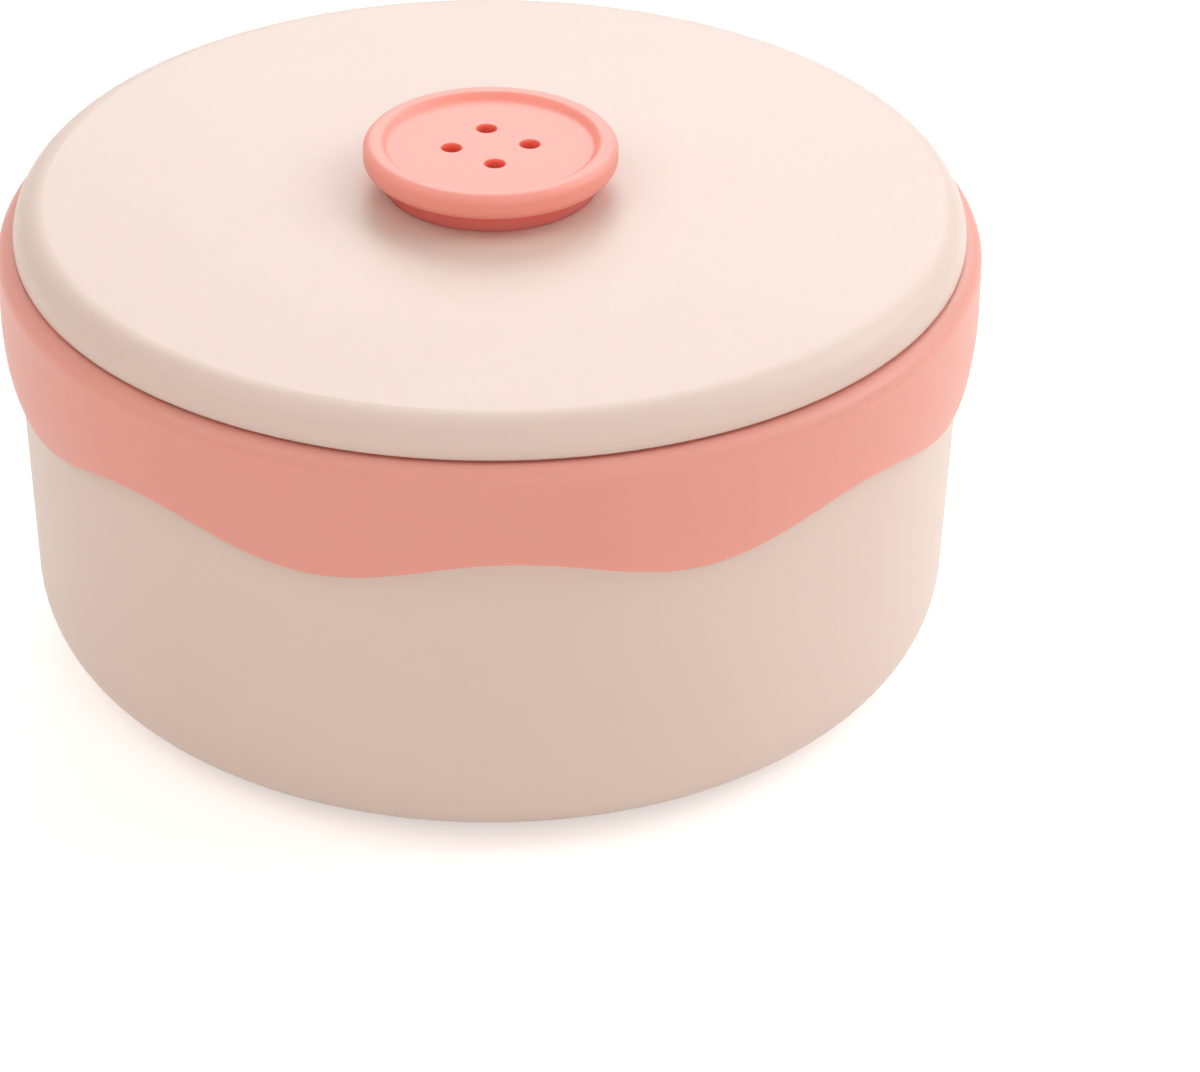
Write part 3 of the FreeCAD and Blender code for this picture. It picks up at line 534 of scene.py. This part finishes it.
def wound_thread(colour, material):
    """One spool's thread: a strand wound in close turns over a plain tube for the layers under it."""
    core_low, core_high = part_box(f"thread_{colour}")
    wound_low, wound_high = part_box(f"winding_{colour}")
    middle = (core_low + core_high) / 2
    core = node_points(f"thread_{colour}")[:, :2] - np.array(middle)[:2]
    bore = np.linalg.norm(core, axis=1).min()
    half = STRAND_DIAMETER / 2
    radius = (wound_high.x - wound_low.x) / 2 - half
    length = core_high.z - core_low.z - STRAND_DIAMETER
    turns = round(length / STRAND_DIAMETER)
    steps = np.arange(turns * STRAND_STEPS + 1) / STRAND_STEPS
    wander = np.array([noise.noise((turn * WANDER_SLOW, turn * WANDER_QUICK, middle.x / MM)) for turn in steps])
    reach = radius - STRAND_WANDER * (1 + wander)
    height = core_low.z + half + length * steps / turns
    height = np.clip(height + STRAND_WANDER * wander[::-1], core_low.z + half, core_high.z - half)
    around = 2 * math.pi * steps
    sides = 2 * math.pi * np.arange(STRAND_SIDES) / STRAND_SIDES
    out = reach[:, None] + half * np.cos(sides)
    points = np.stack([
        middle.x + out * np.cos(around)[:, None],
        middle.y + out * np.sin(around)[:, None],
        height[:, None] + half * np.sin(sides) + 0 * out,
    ], axis=-1).reshape(-1, 3)
    faces = quads(len(steps), STRAND_SIDES, wrap_columns=True)
    last = (len(steps) - 1) * STRAND_SIDES
    faces.append(tuple(reversed(range(STRAND_SIDES))))
    faces.append(tuple(range(last, last + STRAND_SIDES)))
    strand_uv = np.stack([
        (around * radius / TWIST_LENGTH)[:, None] + 0 * sides,
        sides / (2 * math.pi) + 0 * around[:, None],
    ], axis=-1).reshape(-1, 2)
    under_radius = radius - half
    ring = 2 * math.pi * np.arange(STRAND_STEPS) / STRAND_STEPS
    profile = ((bore, core_low.z), (under_radius, core_low.z), (under_radius, core_high.z), (bore, core_high.z))
    under = [
        (middle.x + r * math.cos(angle), middle.y + r * math.sin(angle), z)
        for r, z in profile for angle in ring
    ]
    faces += quads(len(profile), STRAND_STEPS, first=len(points), wrap_rows=True, wrap_columns=True)
    thread = new_piece(f"wound_{colour}", list(points) + under, faces, material, "base")
    give_uv(thread.data, "strand", np.concatenate([strand_uv, np.zeros((len(under), 2))]))
    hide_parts(f"thread_{colour}", f"winding_{colour}")


class TapeRoll:
    """Place and size of the rolled tape, from its node: axes along the roll, across the tape and up."""

    def __init__(self):
        points = node_points("tape_measure")
        middle = (points.min(0) + points.max(0)) / 2
        flat = points[:, :2] - middle[:2]
        along = np.linalg.svd(flat, full_matrices=False)[2][0]
        along = along * np.sign(along[0])
        self.along = np.array([along[0], along[1], 0])
        self.across = np.array([-along[1], along[0], 0])
        x = flat @ along
        self.half_length = (x.max() - x.min()) / 2
        y = flat @ self.across[:2]
        self.width = y.max() - y.min()
        self.half_height = (points[:, 2].max() - points[:, 2].min()) / 2
        self.middle = middle + self.along * (x.max() + x.min()) / 2 + self.across * (y.max() + y.min()) / 2
        self.bend = self.half_height - TAPE_THICKNESS / 2
        self.run = self.half_length - self.half_height

    def to_box(self, local):
        """Points given along, across and up the roll, in the box's frame."""
        local = np.asarray(local)
        return self.middle + local[:, :1] * self.along + local[:, 1:2] * self.across + local[:, 2:3] * [0, 0, 1]


def tape_line(roll):
    """Middle line of the tape in the roll's upright plane, from the outer end inwards, with its length so far."""
    start = TAPE_NUMBER_PLACE - INCH
    line = []
    turn = 0
    while True:
        for side, turned in ((1, turn), (-1, turn + HALF_TURN)):
            first = start if not line else -side * roll.run
            for step in range(TAPE_STRAIGHT_STEPS):
                share = step / TAPE_STRAIGHT_STEPS
                depth = roll.bend - TAPE_PITCH * (turned + share * QUARTER_TURN)
                line.append((first + (side * roll.run - first) * share, side * depth))
            for step in range(TAPE_BEND_STEPS):
                share = step / TAPE_BEND_STEPS
                depth = roll.bend - TAPE_PITCH * (turned + QUARTER_TURN + share * QUARTER_TURN)
                angle = math.pi / 2 - math.pi * share
                line.append((side * (roll.run + depth * math.cos(angle)), side * depth * math.sin(angle)))
        turn += 1
        points = np.array(line)
        lengths = np.concatenate([[0], np.cumsum(np.linalg.norm(np.diff(points, axis=0), axis=1))])
        if lengths[-1] > TAPE_LENGTH:
            count = int(np.searchsorted(lengths, TAPE_LENGTH)) + 1
            return points[:count], lengths[:count]


def rolled_tape(roll, material, ink):
    """Tape rolled into a long oval, with its printed scale and numbers."""
    line, lengths = tape_line(roll)
    ways = np.gradient(line, axis=0)
    ways /= np.linalg.norm(ways, axis=1)[:, None]
    outward = np.stack([-ways[:, 1], ways[:, 0]], axis=1)
    half = TAPE_THICKNESS / 2
    edge = roll.width / 2
    corners = ((half, edge), (half, -edge), (-half, -edge), (-half, edge))
    points = np.stack([
        np.stack([
            line[:, 0] + outward[:, 0] * out,
            np.full(len(line), y),
            line[:, 1] + outward[:, 1] * out,
        ], axis=1)
        for out, y in corners
    ], axis=1).reshape(-1, 3)
    faces = quads(len(line), len(corners), wrap_columns=True)
    last = (len(line) - 1) * len(corners)
    faces.append(tuple(reversed(range(len(corners)))))
    faces.append(tuple(range(last, last + len(corners))))
    tape = new_piece("rolled_tape", roll.to_box(points), faces, material, "tray")
    across = np.array([1.0, 0.0, 0.0, 1.0])
    scale_uv = np.stack([
        (lengths / INCH)[:, None] + 0 * across,
        across + 0 * lengths[:, None],
    ], axis=-1).reshape(-1, 2)
    give_uv(tape.data, "scale", scale_uv)
    keep_edges_sharp(tape)
    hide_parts("tape_measure")
    numbers = tape_numbers(roll, line, outward, lengths, ink)


def tape_numbers(roll, line, outward, lengths, ink):
    """Plain numbers at the inch marks of the outer turn, laid on the tape's face."""
    points = []
    faces = []
    for count in range(TAPE_NUMBERS):
        at = (count + 1) * INCH
        text = bpy.data.curves.new("inch_number", "FONT")
        text.body = str(TAPE_LAST_NUMBER - count)
        text.size = TAPE_NUMBER_HEIGHT / TAPE_FIGURE_SHARE
        text.align_x = "CENTER"
        text.align_y = "CENTER"
        text.resolution_u = TAPE_FIGURE_STEPS
        holder = bpy.data.objects.new("inch_number", text)
        bpy.context.scene.collection.objects.link(holder)
        mesh = bpy.data.meshes.new_from_object(holder.evaluated_get(bpy.context.evaluated_depsgraph_get()))
        first = len(points)
        for vertex in mesh.vertices:
            along = at + vertex.co.x
            index = min(max(int(np.searchsorted(lengths, along)), 1), len(lengths) - 1)
            share = (along - lengths[index - 1]) / (lengths[index] - lengths[index - 1])
            spot = line[index - 1] + (line[index] - line[index - 1]) * share
            out = outward[index - 1] * (TAPE_THICKNESS / 2 + TAPE_NUMBER_LIFT)
            points.append((spot[0] + out[0], vertex.co.y + TAPE_NUMBER_SHIFT, spot[1] + out[1]))
        faces += [tuple(first + corner for corner in face.vertices) for face in mesh.polygons]
        bpy.data.objects.remove(holder)
    return new_piece("tape_numbers", roll.to_box(points), faces, ink, "tray")


def paper_band(roll, material):
    """Paper sleeve round the middle of the roll, a little crowned on top, its end glued over its start underneath."""
    band = node_points("tape_band") - roll.middle
    half_length = np.abs(band @ roll.along).max()
    reach = np.abs(band @ roll.across).max() - PAPER_THICKNESS
    top = band[:, 2].max() - PAPER_THICKNESS
    bottom = band[:, 2].min() + PAPER_THICKNESS * BAND_ROOM_BELOW
    loop = [(BAND_LAP / 2, bottom)]
    side = reach - BAND_CORNER
    bends = (
        (-side, bottom + BAND_CORNER, 270, False),
        (-side, top - BAND_CORNER, 180, True),
        (side, top - BAND_CORNER, 90, False),
        (side, bottom + BAND_CORNER, 0, False),
    )
    for bend_y, bend_z, start_deg, crown_follows in bends:
        for step in range(BAND_BEND_STEPS + 1):
            angle = math.radians(start_deg - 90 * step / BAND_BEND_STEPS)
            loop.append((bend_y + BAND_CORNER * math.cos(angle), bend_z + BAND_CORNER * math.sin(angle)))
        if crown_follows:
            for step in range(1, BAND_CROWN_STEPS):
                share = 2 * step / BAND_CROWN_STEPS - 1
                loop.append((side * share, top + BAND_CROWN * (1 - share * share)))
    loop.append((-BAND_LAP / 2, bottom - PAPER_THICKNESS * BAND_LAP_STEP))
    points = []
    for y, z in loop:
        for step in range(BAND_LENGTH_STEPS + 1):
            share = 2 * step / BAND_LENGTH_STEPS - 1
            waver = BAND_WAVER * noise.noise((y / BAND_CURL, z / BAND_CURL, share))
            points.append((share * (half_length - BAND_WAVER) + waver, y, z))
    faces = quads(len(loop), BAND_LENGTH_STEPS + 1)
    sleeve = new_piece("paper_sleeve", roll.to_box(points), faces, material, "tray")
    thick = sleeve.modifiers.new("paper_thickness", "SOLIDIFY")
    thick.thickness = PAPER_THICKNESS
    thick.offset = 0
    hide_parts("tape_band")


def ring_thimble(material):
    """Open ring thimble: rows of pressed dimples, a rolled top edge, and a slit where the band's ends meet."""
    low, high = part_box("thimble")
    middle = (low + high) / 2
    radius = (high.x - low.x) / 2
    height = high.z - low.z
    top_radius = radius - THIMBLE_TAPER
    bead_low = height - 2 * THIMBLE_BEAD
    wall = [
        (radius - THIMBLE_TAPER * z / bead_low, z)
        for z in np.linspace(THIMBLE_EDGE, bead_low, THIMBLE_ROWS)
    ]
    bead = [
        (top_radius + THIMBLE_BEAD * math.cos(turn), height - THIMBLE_BEAD + THIMBLE_BEAD * math.sin(turn))
        for turn in np.linspace(-math.pi / 2, math.pi / 2, THIMBLE_BEAD_POINTS)[1:]
    ]
    inside = [
        (top_radius - THIMBLE_WALL, height - THIMBLE_EDGE), (radius - THIMBLE_WALL, THIMBLE_EDGE),
        (radius - THIMBLE_WALL + THIMBLE_EDGE, 0), (radius - THIMBLE_EDGE, 0),
    ]
    profile = wall + bead + inside
    slit_turn = THIMBLE_SLIT / radius
    turns = math.radians(THIMBLE_SLIT_DEG) + np.linspace(
        slit_turn / 2, 2 * math.pi - slit_turn / 2, THIMBLE_COLUMNS)
    row_gap = bead_low / (DIMPLE_ROWS + 1)
    step = 2 * math.pi / DIMPLES_ROUND
    points = []
    for index, (r, z) in enumerate(profile):
        row = min(max(round(z / row_gap), 1), DIMPLE_ROWS)
        stagger = step / 2 * (row % 2)
        beside = (np.mod(turns - turns[0] - stagger + step / 2, step) - step / 2) * radius
        off = np.hypot(beside, z - row * row_gap) / DIMPLE_RADIUS
        dent = np.maximum(0, 1 - off * off) * DIMPLE_DEPTH * (index < len(wall))
        for turn, depth in zip(turns, dent):
            out = r - depth
            points.append((middle.x + out * math.cos(turn), middle.y + out * math.sin(turn), low.z + z))
    rows = len(profile)
    faces = quads(rows, THIMBLE_COLUMNS, wrap_rows=True)
    faces.append(tuple(row * THIMBLE_COLUMNS for row in range(rows)))
    faces.append(tuple(row * THIMBLE_COLUMNS + THIMBLE_COLUMNS - 1 for row in reversed(range(rows))))
    thimble = new_piece("dimpled_thimble", points, faces, material, "tray")
    keep_edges_sharp(thimble)
    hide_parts("thimble")


def set_finish(material, *names):
    """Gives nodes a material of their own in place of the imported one."""
    for name in names:
        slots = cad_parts[name].data.materials
        slots.clear()
        slots.append(material)


def softbox(name, azimuth_deg, elevation_deg, distance, width, height, watts, colour):
    """Large soft lamp that faces the box."""
    lamp = bpy.data.lights.new(name, "AREA")
    lamp.shape = "RECTANGLE"
    lamp.size = width
    lamp.size_y = height
    lamp.energy = watts
    lamp.color = linear(colour)[:3]
    holder = bpy.data.objects.new(name, lamp)
    bpy.context.scene.collection.objects.link(holder)
    azimuth = math.radians(azimuth_deg)
    elevation = math.radians(elevation_deg)
    way = Vector((
        math.cos(elevation) * math.cos(azimuth), math.cos(elevation) * math.sin(azimuth), math.sin(elevation)))
    holder.location = BOX_MIDDLE + way * distance
    holder.rotation_mode = "QUATERNION"
    holder.rotation_quaternion = (-way).to_track_quat("-Z", "Y")
    holder.visible_camera = False


def seen_ray(tree):
    """1 for rays that come from the camera, a mirror or a clear piece, and 0 for light on the object."""
    path = add_node(tree, "ShaderNodeLightPath", {}, {})
    mirrored = add_node(tree, "ShaderNodeMath", {"operation": "MAXIMUM"}, {
        0: path.outputs["Is Camera Ray"], 1: path.outputs["Is Glossy Ray"]})
    seen = add_node(tree, "ShaderNodeMath", {"operation": "MAXIMUM"}, {
        0: mirrored.outputs["Value"], 1: path.outputs["Is Transmission Ray"]})
    return seen.outputs["Value"]


def studio_world():
    """Even daylight for the object, and a white surround where it is seen or mirrored."""
    world = bpy.data.worlds.new("studio")
    bpy.context.scene.world = world
    world.use_nodes = True
    tree = world.node_tree
    tree.nodes.clear()
    light = add_node(tree, "ShaderNodeBackground", {}, {
        "Color": linear(DAYLIGHT_COLOUR), "Strength": DAYLIGHT_LEVEL})
    white = add_node(tree, "ShaderNodeBackground", {}, {"Color": linear(WHITE), "Strength": 1.0})
    mixed = add_node(tree, "ShaderNodeMixShader", {}, {
        0: seen_ray(tree), 1: light.outputs["Background"], 2: white.outputs["Background"]})
    add_node(tree, "ShaderNodeOutputWorld", {}, {"Surface": mixed.outputs["Shader"]})


def studio_floor():
    """Pale floor that keeps the box's shadow and reads as white away from it."""
    reach = FLOOR_HALF_SIZE
    corners = [(-reach, -reach, 0), (reach, -reach, 0), (reach, reach, 0), (-reach, reach, 0)]
    mesh = bpy.data.meshes.new("floor")
    mesh.from_pydata(corners, [], [(0, 1, 2, 3)])
    material = bpy.data.materials.new("pale_floor")
    material.use_nodes = True
    tree = material.node_tree
    tree.nodes.clear()
    paint = add_node(tree, "ShaderNodeBsdfDiffuse", {}, {"Color": linear(FLOOR_COLOUR)})
    lift = add_node(tree, "ShaderNodeEmission", {}, {"Color": linear(WHITE), "Strength": FLOOR_LIFT})
    bright = add_node(tree, "ShaderNodeAddShader", {}, {0: paint.outputs["BSDF"], 1: lift.outputs["Emission"]})
    mixed = add_node(tree, "ShaderNodeMixShader", {}, {
        0: seen_ray(tree), 1: paint.outputs["BSDF"], 2: bright.outputs["Shader"]})
    add_node(tree, "ShaderNodeOutputMaterial", {}, {"Surface": mixed.outputs["Shader"]})
    mesh.materials.append(material)
    floor = bpy.data.objects.new("floor", mesh)
    bpy.context.scene.collection.objects.link(floor)


def photo_camera():
    """Camera at the photograph's angle, turned so that the box stands where it does in the photograph's frame."""
    elevation = math.radians(VIEW_ELEVATION_DEG)
    forward = Vector((0, math.cos(elevation), -math.sin(elevation)))
    upward = Vector((0, math.sin(elevation), math.cos(elevation)))
    rightward = Vector((1, 0, 0))
    aim_right = (IMAGE_WIDTH / 2 - BOX_PIXEL_X) / FOCAL_PIXELS
    aim_down = (IMAGE_HEIGHT / 2 - BOX_PIXEL_Y) / FOCAL_PIXELS
    aim = (forward + rightward * aim_right - upward * aim_down).normalized()
    lens = bpy.data.cameras.new("photo_camera")
    lens.sensor_width = SENSOR_WIDTH
    lens.lens = SENSOR_WIDTH * FOCAL_PIXELS / IMAGE_WIDTH
    camera = bpy.data.objects.new("photo_camera", lens)
    bpy.context.scene.collection.objects.link(camera)
    camera.location = BOX_MIDDLE - forward * VIEW_DISTANCE
    camera.rotation_mode = "QUATERNION"
    camera.rotation_quaternion = forward.rotation_difference(aim) @ forward.to_track_quat("-Z", "Y")
    bpy.context.scene.camera = camera


bpy.context.scene.view_settings.view_transform = "Standard"
photo_camera()
studio_world()
studio_floor()
for lamp_values in SOFTBOXES:
    softbox(*lamp_values)

# Each plastic's painted_shade_colour is the shade painted into its crevices
cream = moulded_polypropylene(
    "moulded_cream_polypropylene", colour="#E0CBBF", cloud_colour="#DDC6B9", painted_shade_colour="#DFB9A8",
    glow=(1.0, 0.4, 0.25), glow_reach=2.5 * MM)
pink = moulded_polypropylene(
    "moulded_pink_polypropylene", colour="#E79D8E", cloud_colour="#E59787", painted_shade_colour="#E47F6E",
    glow=(1.0, 0.2, 0.12), glow_reach=2 * MM)
# The knob is the same pink plastic as the tray. Its copy is a little redder, painted light standing in for red light
# through its plate, with a much deeper painted shade colour. It is fixed on the lid, so the lid counts in its painted
# shade as its own walls do
knob_pink = moulded_polypropylene(
    "moulded_pink_polypropylene_knob_painted_shade", colour="#EE9D8E", cloud_colour="#EC9787", painted_shade_colour="#E02C1C",
    glow=(1.0, 0.2, 0.12), glow_reach=5 * MM, own_walls_only=False)
set_finish(cream, "base_bowl", "lid")
set_finish(pink, "tray")
set_finish(knob_pink, "button_knob")
set_finish(bonded_ferrite(), "magnet_disc")
nickel = plated_metal(
    "nickel_plated_steel", colour="#D6D0C9", worn_colour="#B9B2AA", smooth=0.18, rough=0.32,
    draw_length=20 * MM, draw_width=0.2 * MM)
set_finish(nickel, "steel_needles", "threader_wire")
gilt = plated_metal(
    "gilt_plated_steel", colour="#EFE2C2", worn_colour="#DCCBA0", smooth=0.22, rough=0.36,
    draw_length=20 * MM, draw_width=0.2 * MM)
set_finish(gilt, "gilt_needles")
zinc = plated_metal(
    "zinc_plated_steel", colour="#C9C9CB", worn_colour="#AFB0B3", smooth=0.25, rough=0.42,
    draw_length=0.3 * MM, draw_width=0.3 * MM)
set_finish(zinc, "knob_screw", "knob_washer")
brass = plated_metal(
    "gilt_lacquered_brass", colour="#FFCB85", worn_colour="#F4B159", smooth=0.2, rough=0.34,
    draw_length=2 * MM, draw_width=0.4 * MM)
ring_thimble(brass)
# Polystyrene moulds as polypropylene does, with the same satin skin
white_plastic = moulded_polypropylene(
    "moulded_white_polystyrene", colour="#FBF4F0", cloud_colour="#F4EBE6", painted_shade_colour="#F0E4DE",
    glow=(1.0, 0.9, 0.8), glow_reach=1 * MM)
set_finish(white_plastic, "threader_plate")
pincushion(sawn_foam())
for thread_colour, thread_hex in THREAD_COLOURS.items():
    wound_thread(thread_colour, spun_polyester(thread_colour, thread_hex))
    spool = f"spool_{thread_colour}"
    set_finish(natural_polypropylene(thread_colour, thread_hex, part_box(spool)[1].z), spool)
tape_roll = TapeRoll()
rolled_tape(tape_roll, printed_vinyl(), printing_ink())
paper_band(tape_roll, bleached_paper())
